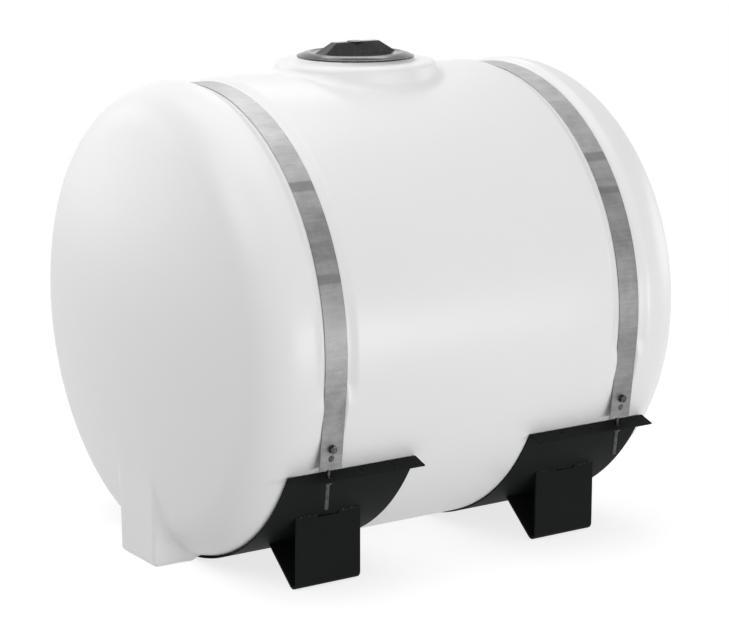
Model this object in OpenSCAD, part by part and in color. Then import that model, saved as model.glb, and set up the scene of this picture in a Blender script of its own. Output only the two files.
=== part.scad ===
// Horizontal saddle tank: a moulded tank held by two steel bands in two saddles on feet.
// X runs along the tank, Y across it, Z up from the ground.

/* [Tank] */
// Outside diameter of the barrel
tank_dia = 965; // [800:5:1200]
// Length between the seams where the domed ends start
barrel_len = 816; // [700:2:1200]
// Radius of the knuckle that turns the barrel into the domed end
knuckle_r = 112; // [80:1:200]
// Radius of the domed end's crowned face
crown_r = 1750; // [1000:10:4000]
// Wall thickness of the moulding
tank_wall = 7; // [4:0.5:12]
// Height of the barrel's underside above the ground
belly_gap = 4.5; // [4.5:0.5:120]

/* [Grooves under the bands] */
// Distance from the middle of each band out to the seam of the domed end
band_inset = 54; // [52:1:120]
// Depth of the groove that each band lies in
groove_depth = 9; // [3:0.5:12]
// Width of the sloping side of a groove
groove_slope = 22; // [10:1:22]
// Width by which the groove's flat floor stands out on each side of its band
groove_margin = 4; // [1:0.5:6]

/* [Moulded end legs] */
// Width of a leg at the ground, across the tank
leg_width = 150; // [100:1:240]
// How far a leg's outer face stands out from the seam of the domed end
leg_out = 125; // [100:1:140]
// Gap between a leg's inner face and the end of the saddle
leg_gap = 5; // [3:1:12]
// Height above the ground at which the leg has run into the dome all round
leg_height = 240; // [200:1:300]
// Slope of the leg's two side walls
leg_draft = 1; // [0:0.5:5]
// Radius of the leg's upright corners
leg_round = 12; // [4:1:30]

/* [Fill well] */
// Outside diameter of the raised collar
well_dia = 328; // [280:1:380]
// Height of the collar's flat top above the barrel's top line
well_rise = 19; // [8:1:40]
// Radius of the collar's rounded rim
well_round = 10; // [4:1:16]
// Slope of the collar's flared wall, from upright
well_flare = 20; // [5:1:30]
// Inside diameter of the threaded neck
neck_bore = 208; // [150:1:216]
// Wall thickness of the neck
neck_wall = 8; // [5:0.5:12]
// Height of the neck above the collar's flat top
neck_rise = 3; // [2:0.5:20]
// Thickness of the gasket between the neck and the lid
gasket_thick = 2; // [1:0.5:4]

/* [Lid] */
// Outside diameter of the lid's rim
lid_dia = 244; // [226:1:270]
// Thickness of the lid's plastic
lid_wall = 3.5; // [2.5:0.5:6]
// Height of the lid's rim
lid_rim = 5; // [3:0.5:8]
// Width of the slope between the rim and the lid's raised face
lid_slope = 23; // [18:1:28]
// Height of the raised face above the rim
lid_crown = 7; // [4:0.5:12]
// Width of the level ring round the shallow dish in the face
lid_ring = 4; // [3:0.5:10]
// Depth of the dish in the face
lid_dish = 1.5; // [1:0.5:4]
// Depth of the threaded skirt that goes down inside the neck
skirt_depth = 24; // [10:1:30]
// Gap between the foot of the grip's ends and the edge of the dish
grip_inset = 3; // [3:0.5:20]
// Length of the bar grip along its top
grip_top_length = 106; // [40:1:140]
// Height of the bar grip above the lid's face
grip_height = 21; // [16:1:40]
// Width of the bar grip at its foot
grip_width = 41; // [24:1:44]
// Width of the bar grip along its top
grip_top_width = 19; // [10:1:30]
// Diameter of the vent cap
vent_dia = 36; // [20:1:44]
// Height of the vent cap above the grip
vent_rise = 2; // [1.5:0.5:6]

/* [Bands] */
// Width of a band
band_width = 50; // [38:1:60]
// Thickness of a band
band_gauge = 2; // [1.5:0.25:4]
// Gap between a band's end and the middle of the flange below it
band_end_gap = 20; // [12:1:40]
// Diameter of the bolt through a band end
band_bolt_dia = 9.5; // [6:0.5:12]
// Distance from a band's end up to its empty hole
band_hole_low = 22; // [16:1:40]
// Distance between the empty hole and the bolt hole above it
band_hole_pitch = 20; // [20:1:50]

/* [Saddles] */
// How far a saddle reaches outward past the middle of its band
saddle_overhang = 80; // [40:1:90]
// Length of a saddle along the tank
saddle_length = 293; // [200:1:320]
// Thickness of the saddle's sheet
saddle_gauge = 3.2; // [2.5:0.1:6]
// Angle below level at which the rolled sheet ends, seen from the tank's axis
saddle_angle = 28; // [20:0.5:36]
// Width of a flange
flange_width = 38; // [30:1:60]
// Slope of a flange, down towards its free edge
flange_slope = 18; // [0:0.5:26]
// Diameter of the holes in a flange
flange_hole_dia = 13; // [12:0.5:16]

/* [Feet] */
// Length of a foot along the tank
foot_length = 150; // [100:1:200]
// How far a foot reaches outward past the middle of its band
foot_overhang = 15; // [-20:1:60]
// Distance from the tank's axis to a foot's upright face
foot_reach = 351; // [330:1:400]
// Thickness of a foot's plate
foot_gauge = 5; // [3:0.5:8]
// Distance across the tank over which a foot's lower plate rises to the sheet
foot_run = 130; // [80:1:200]
// Length of the notch in a foot's top edge
notch_length = 48; // [20:1:80]
// Depth of the notch in a foot's top edge
notch_depth = 7; // [4:1:20]
// Bend radius at a foot's lower edge
foot_bend = 9; // [6:1:15]

/* [Hardware] */
// Diameter of the rods that pull the bands down
rod_dia = 9.5; // [6:0.5:12]
// Length of a rod below its flange
rod_tail = 68; // [30:1:110]
// Height of a nut under a flange
nut_height = 8; // [5:0.5:12]
// Thickness of the washer under a bolt's head
washer_gauge = 2; // [1:0.5:3]
// Gap between pieces that are assembled but not joined
fit = 0.3; // [0.1:0.1:1]

/* [Hidden] */

tank_r = tank_dia / 2;
axis_height = tank_r + belly_gap;
half_barrel = barrel_len / 2;
band_x = half_barrel - band_inset;
saddle_end = band_x + saddle_overhang;
saddle_x = saddle_end - saddle_length;
foot_x = band_x + foot_overhang - foot_length;
leg_inner = saddle_end + leg_gap;
leg_reach = half_barrel + leg_out;
white = [0.93, 0.93, 0.92];
black = [0.1, 0.11, 0.11];
zinc = [0.6, 0.61, 0.6];
round_steps = 96;

// ---- tank profile -------------------------------------------------------------------

// Depth of the groove at x, from a flat bottom through two smooth slopes
groove_flat = band_width / 2 + groove_margin;
function smooth(t) = t * t * (3 - 2 * t);
function groove(x) =
    let (away = max(0, abs(abs(x) - band_x) - groove_flat) / groove_slope)
    away >= 1 ? 0 : groove_depth * (1 - smooth(away));

// Stations along the barrel, closer together on the slopes of a groove
slope_steps = 6;
groove_stations = [
    for (i = [0 : slope_steps]) band_x - groove_flat - groove_slope * (1 - i / slope_steps),
    for (i = [0 : slope_steps]) band_x + groove_flat + groove_slope * i / slope_steps];
barrel_stations = concat([-half_barrel],
    [for (i = [len(groove_stations) - 1 : -1 : 0]) -groove_stations[i]],
    groove_stations, [half_barrel]);

// Points of the barrel's wall at a given depth below its outer face
function barrel_line(depth) = [for (x = barrel_stations) [tank_r - groove(x) - depth, x]];

module barrel_shell() {
    outer = barrel_line(0);
    inner = barrel_line(tank_wall);
    rotate([0, 90, 0])
        rotate_extrude($fn = round_steps)
            polygon(concat(outer, [for (i = [len(inner) - 1 : -1 : 0]) inner[i]]));
}

// The domed end is a crown, part of a large sphere, with a knuckle that meets the barrel at a tangent
knuckle_y = tank_r - knuckle_r;
crown_back = sqrt(pow(crown_r - knuckle_r, 2) - knuckle_y * knuckle_y);
crown_angle = asin(knuckle_y / (crown_r - knuckle_r));
dome_depth = crown_r - crown_back;
knuckle_steps = 12;
crown_steps = 8;

// Half outline of the end at a given depth below its outer face, from the seam to the axis
function dome_line(depth) = concat(
    [for (i = [0 : knuckle_steps]) let (a = 90 - (90 - crown_angle) * i / knuckle_steps)
        [knuckle_y + (knuckle_r - depth) * sin(a), (knuckle_r - depth) * cos(a)]],
    [for (i = [1 : crown_steps]) let (a = crown_angle * (1 - i / crown_steps))
        [(crown_r - depth) * sin(a), (crown_r - depth) * cos(a) - crown_back]]);

module dome_solid(depth) {
    rotate([0, 90, 0])
        rotate_extrude($fn = round_steps)
            polygon(concat([[0, 0]], dome_line(depth)));
}

// ---- end legs -----------------------------------------------------------------------

// A box with draft on its walls, standing on the ground, smaller by a given skin
module leg_block(skin) {
    half = leg_width / 2 - skin;
    lean = leg_height * tan(leg_draft);
    intersection() {
        rotate([90, 0, 90])
            linear_extrude(2 * leg_reach)
                polygon([[-half, skin], [half, skin], [half - lean, leg_height], [lean - half, leg_height]]);
        linear_extrude(leg_height)
            translate([leg_inner + skin, -half])
                rounded_square(leg_reach - leg_inner - 2 * skin, 2 * half, leg_round);
    }
}

module rounded_square(w, h, r) {
    union() {
        translate([r, 0])
            square([w - 2 * r, h]);
        translate([0, r])
            square([w, h - 2 * r]);
        for (x = [r, w - r], y = [r, h - r])
            translate([x, y])
                circle(r, $fn = 48);
    }
}

module leg(side) {
    color(white)
        mirror([side < 0 ? 1 : 0, 0, 0])
            difference() {
                leg_block(0);
                leg_block(tank_wall);
                translate([half_barrel, 0, axis_height])
                    dome_solid(0);
            }
}

module tank_end(side) {
    color(white)
        mirror([side < 0 ? 1 : 0, 0, 0])
            difference() {
                translate([half_barrel, 0, axis_height])
                    difference() {
                        dome_solid(0);
                        dome_solid(tank_wall);
                    }
                leg_block(tank_wall);
            }
}

// ---- fill well ----------------------------------------------------------------------

barrel_top = axis_height + tank_r;
well_top = barrel_top + well_rise;
neck_r = neck_bore / 2 + neck_wall;
neck_top = well_top + neck_rise;
lid_seat = neck_top + gasket_thick;
module tank_barrel() {
    color(white)
        difference() {
            translate([0, 0, axis_height])
                barrel_shell();
            translate([0, 0, axis_height])
                cylinder(h = tank_r * 2, d = well_dia - 2 * tank_wall, $fn = round_steps);
        }
}

// The collar stands on the barrel's outer face, round the opening in the barrel
module fill_well() {
    r = well_dia / 2;
    foot_r = r + 2 * well_rise;
    sink = ceil(tank_r - sqrt(tank_r * tank_r - foot_r * foot_r) + tank_wall);
    color(white)
        difference() {
            translate([0, 0, barrel_top - sink])
                rotate_extrude($fn = round_steps)
                    well_section(r, sink + well_rise);
            translate([0, 0, axis_height])
                rotate([0, 90, 0])
                    cylinder(h = 2 * well_dia, r = tank_r, center = true, $fn = round_steps);
        }
}

// Half section of the collar: a flared wall, a rounded rim, a flat top and the neck inside it
module well_section(r, height) {
    steps = 5;
    arc = [for (i = [0 : steps]) let (a = well_flare + (90 - well_flare) * i / steps)
        [r - well_round + well_round * cos(a), height - well_round + well_round * sin(a)]];
    polygon(concat([[r - tank_wall, 0], [arc[0][0] + arc[0][1] * tan(well_flare), 0]], arc,
        [[neck_r, height], [neck_r, height + neck_rise], [neck_bore / 2, height + neck_rise],
            [neck_bore / 2, height - tank_wall], [r - tank_wall, height - tank_wall]]));
}

// ---- lid ----------------------------------------------------------------------------

module lid_gasket() {
    color(black)
        translate([0, 0, neck_top])
            difference() {
                cylinder(h = gasket_thick - fit, r = neck_r, $fn = round_steps);
                translate([0, 0, -1])
                    cylinder(h = gasket_thick + 2, d = neck_bore, $fn = round_steps);
            }
}

lid_r = neck_bore / 2 - fit;
face_r = lid_dia / 2 - lid_slope;
dish_r = face_r - lid_ring - lid_dish;
crown_top = lid_seat + lid_rim + lid_crown;
dish_floor = crown_top - lid_dish;
grip_foot = dish_r - grip_inset;
grip_top = crown_top + grip_height;

// The rim that lies on the gasket, and the slope and level ring inside it
module lid() {
    color(black)
        translate([0, 0, lid_seat])
            rotate_extrude($fn = round_steps)
                rim_section();
}

// Half section of the rim, slope and ring, which are one wall, open underneath
module rim_section() {
    rim_r = lid_dia / 2;
    edge = lid_wall / 3;
    face_z = lid_rim + lid_crown;
    floor_z = face_z - lid_dish;
    run = lid_slope - edge;
    steps = 5;
    fullness = 1.4;
    slope = [for (i = [0 : steps]) [rim_r - edge - run * i / steps,
        lid_rim + lid_crown * (1 - pow(1 - i / steps, fullness))]];
    polygon(concat([[dish_r - lid_wall, floor_z - lid_wall], [dish_r, face_z - lid_wall],
        [lid_r - lid_wall, face_z - lid_wall], [lid_r - lid_wall, 0],
        [rim_r, 0], [rim_r, lid_rim - edge]], slope,
        [[face_r - lid_ring, face_z], [dish_r, floor_z], [dish_r - lid_wall, floor_z]]));
}

// The skirt under the rim that screws into the neck
module lid_skirt() {
    color(black)
        translate([0, 0, lid_seat - skirt_depth])
            difference() {
                cylinder(h = skirt_depth, r = lid_r, $fn = round_steps);
                translate([0, 0, -1])
                    cylinder(h = skirt_depth + 2, r = lid_r - lid_wall, $fn = round_steps);
            }
}

// The floor of the dish, open under the hollow grip
module lid_floor() {
    color(black)
        translate([0, 0, dish_floor - lid_wall])
            difference() {
                cylinder(h = lid_wall, r = dish_r - lid_wall, $fn = round_steps);
                translate([lid_wall - grip_foot, lid_wall - grip_width / 2, -1])
                    cube([2 * (grip_foot - lid_wall), grip_width - 2 * lid_wall, lid_wall + 2]);
            }
}

module lid_grip() {
    color(black)
        difference() {
            grip_bar(0);
            grip_bar(lid_wall);
            cylinder(h = 2 * grip_top, d = vent_dia / 3, $fn = 48);
        }
}

// A bar across the dish whose ends and sides all slope in to its top
module grip_bar(skin) {
    foot = dish_floor;
    top = grip_top - skin;
    half_foot = grip_foot - skin;
    half_top = grip_top_length / 2 - skin;
    side_foot = grip_width / 2 - skin;
    side_top = grip_top_width / 2 - skin;
    intersection() {
        translate([0, grip_width / 2, 0])
            rotate([90, 0, 0])
                linear_extrude(grip_width)
                    polygon([[-half_foot, foot], [half_foot, foot], [half_top, top], [-half_top, top]]);
        translate([-grip_foot, 0, 0])
            rotate([90, 0, 90])
                linear_extrude(2 * grip_foot)
                    polygon([[-side_foot, foot], [side_foot, foot], [side_top, top], [-side_top, top]]);
    }
}

// A low mushroom cap whose stem plugs the hole in the grip
module lid_vent() {
    stem_r = vent_dia / 6 - fit;
    edge = vent_rise / 2;
    color(black)
        translate([0, 0, grip_top])
            rotate_extrude($fn = 48)
                polygon([[0, -lid_wall], [stem_r, -lid_wall], [stem_r, 0], [vent_dia / 2, 0],
                    [vent_dia / 2, vent_rise - edge], [vent_dia / 2 - 2 * edge, vent_rise], [0, vent_rise]]);
}

// ---- bands --------------------------------------------------------------------------

band_r = tank_r - groove_depth + fit;
band_face = band_r + band_gauge;
sheet_r = tank_r + fit;
sheet_face = sheet_r + saddle_gauge;

// Middle of a flange, measured across and down from the tank's axis
flange_y = sheet_r * cos(saddle_angle) + flange_width / 2 * cos(flange_slope);
flange_drop = sheet_r * sin(saddle_angle) + flange_width / 2 * sin(flange_slope);
flange_far = norm([flange_y, flange_drop]);

// A rod runs straight from behind the band, at a tangent to the tank, to the middle of the flange
rod_r = band_r - fit - rod_dia / 2;
pull_angle = atan2(flange_drop, flange_y) - acos(rod_r / flange_far);
pull_length = sqrt(flange_far * flange_far - rod_r * rod_r);
band_drop = pull_length - band_end_gap;
hole_low = band_drop - band_hole_low;
hole_high = hole_low - band_hole_pitch;

// Frame of one band end: Y points in to the axis and -Z runs down along the pull
module pull_frame(side, front) {
    translate([side * band_x, 0, axis_height])
        mirror([0, front > 0 ? 1 : 0, 0])
            rotate([pull_angle, 0, 0])
                children();
}

// Front half of a band about the tank's axis, up to the middle of the tank's top
module half_band() {
    reach = tank_dia;
    difference() {
        rotate([pull_angle, 0, 0]) {
            difference() {
                rotate([0, 90, 0])
                    cylinder(h = band_width, r = band_face, center = true, $fn = 180);
                rotate([0, 90, 0])
                    cylinder(h = 2 * band_width, r = band_r, center = true, $fn = 180);
                translate([-band_width, -reach, -reach])
                    cube([2 * band_width, 2 * reach, reach]);
            }
            difference() {
                translate([-band_width / 2, -band_face, -band_drop])
                    cube([band_width, band_gauge, band_drop]);
                for (drop = [hole_low, hole_high])
                    translate([0, -band_r, -drop])
                        rotate([90, 0, 0])
                            cylinder(h = 4 * band_gauge, d = band_bolt_dia + 2 * fit, center = true, $fn = 48);
            }
        }
        translate([-band_width, 0, -reach])
            cube([2 * band_width, reach, 2 * reach]);
    }
}

module band(side) {
    color(zinc)
        translate([side * band_x, 0, axis_height]) {
            half_band();
            mirror([0, 1, 0])
                half_band();
        }
}

module band_bolts(side) {
    color(zinc)
        for (front = [-1, 1])
            pull_frame(side, front)
                translate([0, -band_face, -hole_high])
                    rotate([90, 0, 0])
                        band_bolt();
}

// A hex bolt along Z with its head above z = 0 and its shank through the band and the rod's eye
module band_bolt() {
    shank = band_gauge + fit + rod_dia + washer_gauge;
    cylinder(h = washer_gauge, d = band_bolt_dia * 2.1, $fn = 48);
    translate([0, 0, washer_gauge])
        cylinder(h = band_bolt_dia * 0.65, d = band_bolt_dia * 1.7, $fn = 6);
    translate([0, 0, -shank])
        cylinder(h = shank, d = band_bolt_dia, $fn = 48);
}

// ---- rods ---------------------------------------------------------------------------

eye_r = band_bolt_dia / 2 + fit + rod_dia / 2;

// A straight rod with an eye at its top, behind the band end
module hook_rod(side, front) {
    color(zinc)
        pull_frame(side, front)
            translate([0, -rod_r, -hole_high])
                rotate([90, 0, 0])
                    difference() {
                        union() {
                            rotate_extrude($fn = 48)
                                translate([eye_r, 0])
                                    circle(d = rod_dia, $fn = 24);
                            translate([0, -eye_r, 0])
                                rotate([90, 0, 0])
                                    cylinder(h = pull_length + rod_tail - hole_high - eye_r, d = rod_dia, $fn = 24);
                        }
                        cylinder(h = 2 * rod_dia, d = band_bolt_dia + 2 * fit, center = true, $fn = 48);
                    }
}

module rod_nuts(side) {
    slant = rod_dia * 1.8 * tan(flange_slope + pull_angle) / 2;
    gap = saddle_gauge / cos(flange_slope + pull_angle) + slant + fit;
    color(zinc)
        for (front = [-1, 1])
            pull_frame(side, front)
                translate([0, -rod_r, -pull_length - gap - nut_height])
                    difference() {
                        cylinder(h = nut_height, d = rod_dia * 1.8, $fn = 6);
                        translate([0, 0, -nut_height])
                            cylinder(h = 3 * nut_height, d = rod_dia + fit, $fn = 48);
                    }
}

// ---- saddles ------------------------------------------------------------------------

// The rolled sheet before its ends are cut: a tube, cut off along the plane of each flange
module rolled_sheet() {
    difference() {
        translate([saddle_x - end_trim, 0, axis_height])
            rotate([0, 90, 0])
                difference() {
                    cylinder(h = saddle_length + 2 * end_trim, r = sheet_face, $fn = 180);
                    translate([0, 0, -end_trim])
                        cylinder(h = saddle_length + 4 * end_trim, r = sheet_r, $fn = 180);
                }
        for (front = [-1, 1])
            flange_frame(front)
                translate([-2 * sheet_r, saddle_x - 2 * end_trim, 0])
                    cube([4 * sheet_r, saddle_length + 4 * end_trim, 4 * sheet_r]);
    }
}

// Frame of a flange at its inner edge: X points out along the flange, Z is square to it
module flange_frame(front) {
    mirror([0, front > 0 ? 1 : 0, 0])
        translate([0, -sheet_r * cos(saddle_angle), axis_height - sheet_r * sin(saddle_angle)])
            rotate([flange_slope, 0, 0])
                rotate([0, 0, -90])
                    children();
}

// The flange's plate starts inside the thickness of the rolled sheet, at the bend
bend_start = saddle_gauge / 4;

// A flange before its ends are cut, with its holes
module flange_plate(front) {
    flange_frame(front)
        difference() {
            translate([bend_start, saddle_x - end_trim, -saddle_gauge])
                cube([flange_width - bend_start, saddle_length + 2 * end_trim, saddle_gauge]);
            for (x = flange_holes)
                translate([flange_width / 2, x, 0])
                    cylinder(h = 3 * saddle_gauge, d = flange_hole_dia, center = true, $fn = 48);
        }
}

// Length cut off each end of the bent plate, so that the sheet and flanges end square together
end_trim = 5;

module saddle(side) {
    color(black)
        mirror([side < 0 ? 1 : 0, 0, 0])
            intersection() {
                union() {
                    rolled_sheet();
                    flange_plate(-1);
                    flange_plate(1);
                }
                translate([saddle_x, -tank_dia, axis_height - tank_dia])
                    cube([saddle_length, 2 * tank_dia, tank_dia]);
            }
}

// Places of the three holes in a flange, the outermost under the band
hole_pitch = saddle_length / 4;
flange_holes = [band_x - 2 * hole_pitch, band_x - hole_pitch, band_x];

// ---- feet ---------------------------------------------------------------------------

// Height of the sheet's underside at a distance y from the middle of the tank
function sheet_z(y) = axis_height - sqrt(sheet_face * sheet_face - y * y);
foot_top = sheet_z(foot_reach);
foot_back = foot_reach - foot_run;
foot_rise = atan2(sheet_z(foot_back), foot_run);

module foot(side, front) {
    color(black)
        mirror([side < 0 ? 1 : 0, 0, 0])
            mirror([0, front > 0 ? 1 : 0, 0])
                difference() {
                    translate([foot_x, 0, 0])
                        rotate([90, 0, 90])
                            linear_extrude(foot_length)
                                foot_section();
                    translate([foot_x + (foot_length - notch_length) / 2, -foot_reach - 1,
                        foot_top - notch_depth])
                        cube([notch_length, 3 * foot_gauge, 3 * notch_depth]);
                }
}

// An arc of the bend at the foot's lower edge
function bend_arc(r, first, last) = [for (i = [0 : 6]) let (a = first + (last - first) * i / 6)
    [-foot_reach + foot_bend + r * cos(a), foot_bend + r * sin(a)]];

// One folded strip: up the front face, round the bend, and up to the sheet behind
module foot_section() {
    far = 1.3 * foot_run;
    end = 270 + foot_rise;
    along = far * [cos(foot_rise), sin(foot_rise)];
    outer = bend_arc(foot_bend, 180, end);
    inner = bend_arc(foot_bend - foot_gauge, end, 180);
    difference() {
        polygon(concat([[-foot_reach, foot_top + foot_gauge]], outer,
            [outer[6] + along, inner[0] + along], inner,
            [[-foot_reach + foot_gauge, foot_top + foot_gauge]]));
        translate([0, axis_height])
            circle(sheet_face, $fn = 180);
    }
}

tank_barrel();
tank_end(-1);  // tank_end_left
tank_end(1);  // tank_end_right
leg(-1);  // end_leg_left
leg(1);  // end_leg_right
fill_well();
lid_gasket();
lid();
lid_skirt();
lid_floor();
lid_grip();
lid_vent();
band(-1);  // band_left
band(1);  // band_right
band_bolts(-1);  // band_bolts_left
band_bolts(1);  // band_bolts_right
hook_rod(-1, -1);  // hook_rod_left_front
hook_rod(-1, 1);  // hook_rod_left_back
hook_rod(1, -1);  // hook_rod_right_front
hook_rod(1, 1);  // hook_rod_right_back
rod_nuts(-1);  // rod_nuts_left
rod_nuts(1);  // rod_nuts_right
saddle(-1);  // saddle_left
saddle(1);  // saddle_right
foot(-1, -1);  // foot_left_front
foot(-1, 1);  // foot_left_back
foot(1, -1);  // foot_right_front
foot(1, 1);  // foot_right_back
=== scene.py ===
import math

import bmesh
import bpy
from mathutils import Matrix, Vector


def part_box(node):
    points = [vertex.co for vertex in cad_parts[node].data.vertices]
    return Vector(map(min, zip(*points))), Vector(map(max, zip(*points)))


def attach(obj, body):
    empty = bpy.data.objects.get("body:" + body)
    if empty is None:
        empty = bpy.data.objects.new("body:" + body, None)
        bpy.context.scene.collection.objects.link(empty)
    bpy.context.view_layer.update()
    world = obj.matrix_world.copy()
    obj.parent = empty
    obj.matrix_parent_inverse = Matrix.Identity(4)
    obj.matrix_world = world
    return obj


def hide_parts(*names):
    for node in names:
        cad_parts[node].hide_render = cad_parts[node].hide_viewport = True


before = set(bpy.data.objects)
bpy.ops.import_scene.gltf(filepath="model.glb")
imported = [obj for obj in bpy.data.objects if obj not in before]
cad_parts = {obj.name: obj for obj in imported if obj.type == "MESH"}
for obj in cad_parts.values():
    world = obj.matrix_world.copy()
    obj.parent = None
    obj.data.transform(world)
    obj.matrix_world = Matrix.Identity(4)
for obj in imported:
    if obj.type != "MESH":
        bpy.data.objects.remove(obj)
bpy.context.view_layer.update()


# ---- tank shell ----------------------------------------------------------------------
# The tank is one rotational moulding in white polyethylene: a barrel with two grooves for
# the bands and a crowned end on each side, each turned from the barrel by a knuckle.
# The wall is 7 mm thick, and the opening of the fill well is cut through its top.

barrel_low, barrel_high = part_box("tank_barrel")
tank_r = (barrel_high.y - barrel_low.y) / 2
axis_z = barrel_low.z + tank_r
seam_x = barrel_high.x
end_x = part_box("tank_end_right")[1].x
wall = 0.007
knuckle_r = 0.112
knuckle_y = tank_r - knuckle_r
end_depth = end_x - seam_x
crown_r = (knuckle_y ** 2 + end_depth ** 2 - knuckle_r ** 2) / (2 * (end_depth - knuckle_r))
crown_x = end_x - crown_r
crown_angle = math.asin(knuckle_y / (crown_r - knuckle_r))

band_low, band_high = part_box("band_right")
band_x = (band_low.x + band_high.x) / 2
band_width = band_high.x - band_low.x
groove_depth = 0.009
groove_flat = band_width / 2 + 0.004
groove_slope = 0.022
past_band = 0.0015
pull_angle = math.radians(6.79)
groove_end = math.radians(6.0)
groove_end_run = math.radians(4.8)


def groove_at(x):
    """Depth of the band groove at a distance x along the tank."""
    away = (abs(abs(x) - band_x) - groove_flat) / groove_slope
    t = min(max(away, 0), 1)
    return groove_depth * (1 - t * t * (3 - 2 * t))


def end_line(steps_knuckle=22, steps_crown=16):
    """Points (x, radius) of one domed end, from just past the seam to the axis."""
    points = []
    for i in range(1, steps_knuckle + 1):
        a = math.pi / 2 - (math.pi / 2 - crown_angle) * i / steps_knuckle
        points.append((seam_x + knuckle_r * math.cos(a), knuckle_y + knuckle_r * math.sin(a)))
    for i in range(1, steps_crown + 1):
        a = crown_angle * (1 - i / steps_crown)
        points.append((crown_x + crown_r * math.cos(a), crown_r * math.sin(a)))
    return points


def half_tank_line():
    """Points (x, radius) from the middle of the tank to the pole of its right end."""
    slope_steps = 10
    inner = band_x - groove_flat - groove_slope
    outer = band_x + groove_flat
    stations = [0.1, 0.2] + [inner + groove_slope * i / slope_steps for i in range(slope_steps + 1)]
    # Two points past each edge of the band, where the end of its groove steps down to lie under it.
    stations += [band_x + side * (band_width / 2 + edge) for side, edge in
                 ((-1, 0.0025), (-1, 0.001), (1, 0.001), (1, 0.0025))]
    stations += [outer + groove_slope * i / slope_steps for i in range(slope_steps + 1)]
    return [(x, tank_r - groove_at(x)) for x in stations] + end_line()


def polyline(bm, points):
    """Vertices along the points, joined by edges. Both are returned, for spin."""
    verts = [bm.verts.new(p) for p in points]
    edges = [bm.edges.new(pair) for pair in zip(verts, verts[1:])]
    return verts + edges


def clean(bm, distance=1e-6):
    """Merges what coincides and turns the faces outwards."""
    bmesh.ops.remove_doubles(bm, verts=bm.verts[:], dist=distance)
    bmesh.ops.recalc_face_normals(bm, faces=bm.faces[:])


def piece(name, bm, material, sharp=35):
    """Makes the object, smooth except along edges sharper than the given angle."""
    mesh = bpy.data.meshes.new(name)
    bm.to_mesh(mesh)
    bm.free()
    mesh.shade_smooth()
    mesh.set_sharp_from_angle(angle=math.radians(sharp))
    mesh.materials.append(material)
    made = bpy.data.objects.new(name, mesh)
    bpy.context.scene.collection.objects.link(made)
    return made


def settle(made):
    """Takes an object's modifiers into its mesh."""
    bpy.context.view_layer.update()
    graph = bpy.context.evaluated_depsgraph_get()
    finished = bpy.data.meshes.new_from_object(made.evaluated_get(graph))
    made.modifiers.clear()
    made.data = finished
    return made


def cut(made, cutter_bm, operation="DIFFERENCE"):
    """Cuts a closed shape out of an object, or keeps only what is inside it."""
    tool_mesh = bpy.data.meshes.new("cutter")
    clean(cutter_bm)
    cutter_bm.to_mesh(tool_mesh)
    cutter_bm.free()
    tool = bpy.data.objects.new("cutter", tool_mesh)
    bpy.context.scene.collection.objects.link(tool)
    boolean = made.modifiers.new("cut", "BOOLEAN")
    boolean.operation = operation
    boolean.solver = "EXACT"
    boolean.object = tool
    settle(made).data.set_sharp_from_angle(angle=math.radians(40))
    bpy.data.objects.remove(tool)
    return made


class Socket:
    """An output socket of a shader node, with arithmetic. node() adds any other node to its tree."""

    def __init__(self, tree, socket=None):
        self.tree, self.socket = tree, socket

    def node(self, kind, settings, values, output=0):
        """A new node of a kind, its settings made before its sockets are fed. Returns one of its outputs."""
        made = self.tree.nodes.new(kind)
        for name, value in settings.items():
            if name == "stops":
                ramp = made.color_ramp
                while len(ramp.elements) < len(value):
                    ramp.elements.new(1)
                for element, (position, colour) in zip(ramp.elements, value):
                    element.position = position
                    element.color = colour if hasattr(colour, "__len__") else (colour, colour, colour, 1)
            else:
                setattr(made, name, value)
        for name, value in values.items():
            self.feed(made.inputs[name], value)
        return Socket(self.tree, made.outputs[output] if len(made.outputs) else None)

    def feed(self, target, value):
        if isinstance(value, Socket):
            self.tree.links.new(value.socket, target)
        else:
            target.default_value = value

    def math(self, operation, a, b):
        return self.node("ShaderNodeMath", {"operation": operation}, {0: a, 1: b})

    def __add__(self, other):
        return self.math("ADD", self, other)

    __radd__ = __add__

    def __mul__(self, other):
        return self.math("MULTIPLY", self, other)

    __rmul__ = __mul__

    def __sub__(self, other):
        return self.math("SUBTRACT", self, other)

    def __rsub__(self, other):
        return self.math("SUBTRACT", other, self)

    def ramp(self, *stops):
        return self.node("ShaderNodeValToRGB", {"stops": stops}, {"Fac": self})

    def mix(self, first, second):
        """first where this socket is 0, second where it is 1."""
        return self.node("ShaderNodeMix", {"data_type": "RGBA"}, {0: self, 6: first, 7: second}, 2)


def noise(place, scale, detail=4.0, stretch=(1, 1, 1), roughness=0.55):
    """A noise pattern on Object coordinates, 0 to 1 about a half."""
    stretched = place.node("ShaderNodeMapping", {}, {"Vector": place, "Scale": stretch})
    return place.node("ShaderNodeTexNoise", {},
                      {"Vector": stretched, "Scale": scale, "Detail": detail, "Roughness": roughness})


def finish(name, metallic=0.0, **constants):
    """A material with its constant sockets set, its shader and its Object coordinates."""
    material = bpy.data.materials.new(name)
    material.use_nodes = True
    tree = material.node_tree
    shader = tree.nodes["Principled BSDF"]
    shader.inputs["Metallic"].default_value = metallic
    for socket_name, value in constants.items():
        shader.inputs[socket_name.replace("_", " ")].default_value = value
    place = Socket(tree).node("ShaderNodeTexCoord", {}, {}, "Object")
    return material, shader, place


def dress(shader, place, colour, roughness, height, bump, distance=0.001):
    """Links what varies: base colour, roughness and a bump from a height."""
    place.feed(shader.inputs["Base Color"], colour)
    place.feed(shader.inputs["Roughness"], roughness)
    normal = place.node("ShaderNodeBump", {}, {"Strength": bump, "Distance": distance, "Height": height})
    place.feed(shader.inputs["Normal"], normal)


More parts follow.
